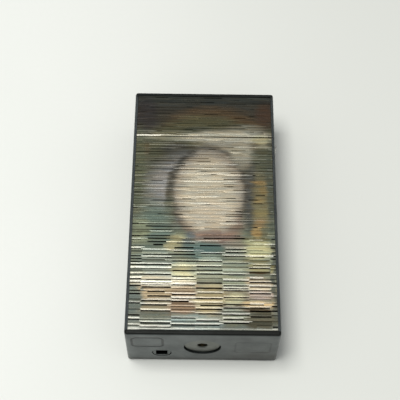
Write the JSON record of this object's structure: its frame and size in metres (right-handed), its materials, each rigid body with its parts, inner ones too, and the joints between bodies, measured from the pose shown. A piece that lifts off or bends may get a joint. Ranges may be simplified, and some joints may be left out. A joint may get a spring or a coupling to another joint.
{
  "type": "pocket lighter",
  "caption": "Flat rectangular pocket gas lighter with bark-cut tarnished silver faces, a side-hinged cap, a spark wheel over a flint, and a filler valve in its base.",
  "frame": {"origin": "middle of the back face, which the lighter rests on when it lies down", "axes": "+Y along its height towards the cap, +Z out of the front face, +X to the hinge side"},
  "size_m": [0.0348, 0.0636, 0.0162],
  "materials": {
    "gunmetal": "dark gunmetal plating, satin",
    "tarnished_silver": "silver plate cut like bark, tarnished in rainbow bands",
    "brass": "machined",
    "steel": "machined",
    "hardened_steel": "blued, toothed",
    "bright_steel": "plated",
    "rubber": "matte",
    "flint": "pressed ferrocerium"
  },
  "bodies": {
    "body": {"body_case": "gunmetal", "base_plate": "gunmetal", "front_panel_body": "tarnished_silver", "back_panel_body": "tarnished_silver", "gas_tank": "brass", "deck": "steel", "deck_screw_left": "steel", "deck_screw_right": "steel", "filler_valve_body": "brass", "filler_spring": "steel", "filler_oring": "rubber", "burner_valve_body": "brass", "burner_oring": "rubber", "burner_gland": "brass", "jet_spring": "steel", "lever_bracket": "steel", "lever_pin": "steel", "bracket_screw": "steel", "wind_chimney": "bright_steel", "flint_tube": "brass", "flint_spring": "steel", "roller_axle": "steel", "roller_bracket_front": "steel", "roller_bracket_rear": "steel", "hinge_leaf_body": "steel", "hinge_pin": "steel", "cap_spring": "steel", "spring_rivet": "steel"},
    "cap": {"cap_shell": "gunmetal", "cap_front_panel": "tarnished_silver", "cap_back_panel": "tarnished_silver", "lever_presser": "steel", "hinge_leaf_cap": "steel", "cap_cam": "hardened_steel"},
    "roller": {"spark_wheel": "hardened_steel", "thumb_roller_front": "gunmetal", "thumb_roller_rear": "gunmetal"},
    "lever": {"gas_lever": "steel"},
    "jet": {"burner_jet": "brass"},
    "adjuster": {"flame_adjuster": "gunmetal"},
    "filler": {"filler_stem": "brass"},
    "flint_plug": {"flint_screw": "gunmetal"},
    "flint_feed": {"flint": "flint", "flint_pusher": "brass"}
  },
  "joints": [
    {"name": "cap_hinge", "type": "hinge", "parent": "body", "child": "cap", "pos_m": [0.01705, 0.0189, 0.0081], "axis": [0, 0, -1], "range_deg": [0, 105]},
    {"name": "roller_spin", "type": "hinge", "parent": "body", "child": "roller", "pos_m": [-0.0091, 0.0225, 0.0081], "axis": [0, 0, 1], "continuous": true},
    {"name": "gas_lever_tilt", "type": "hinge", "parent": "body", "child": "lever", "pos_m": [0.008, 0.02, 0.0081], "axis": [0, 0, -1], "range_deg": [0, 5.8]},
    {"name": "jet_lift", "type": "slide", "parent": "body", "child": "jet", "axis": [0, 1, 0], "range_m": [0, 0.00081], "deforming": ["jet_spring"]},
    {"name": "flame_adjuster_turn", "type": "hinge", "parent": "body", "child": "adjuster", "pos_m": [0, -0.03133, 0.0085], "axis": [0, -1, 0], "range_deg": [-150, 150]},
    {"name": "filler_stem_push", "type": "slide", "parent": "body", "child": "filler", "axis": [0, 1, 0], "range_m": [0, 0.001], "stiffness_N_per_m": 100, "deforming": ["filler_spring"]},
    {"name": "flint_screw_turn", "type": "hinge", "parent": "body", "child": "flint_plug", "pos_m": [-0.0091, -0.0317, 0.0049], "axis": [0, -1, 0], "continuous": true},
    {"name": "flint_press", "type": "slide", "parent": "body", "child": "flint_feed", "axis": [0, -1, 0], "range_m": [0, 0.0008], "stiffness_N_per_m": 200, "deforming": ["flint_spring"]}
  ],
  "couplings": [
    {"joint": "gas_lever_tilt", "follows": "cap_hinge", "ratio": 0.054286},
    {"joint": "jet_lift", "follows": "cap_hinge", "m_per_rad": 0.00043654}
  ]
}
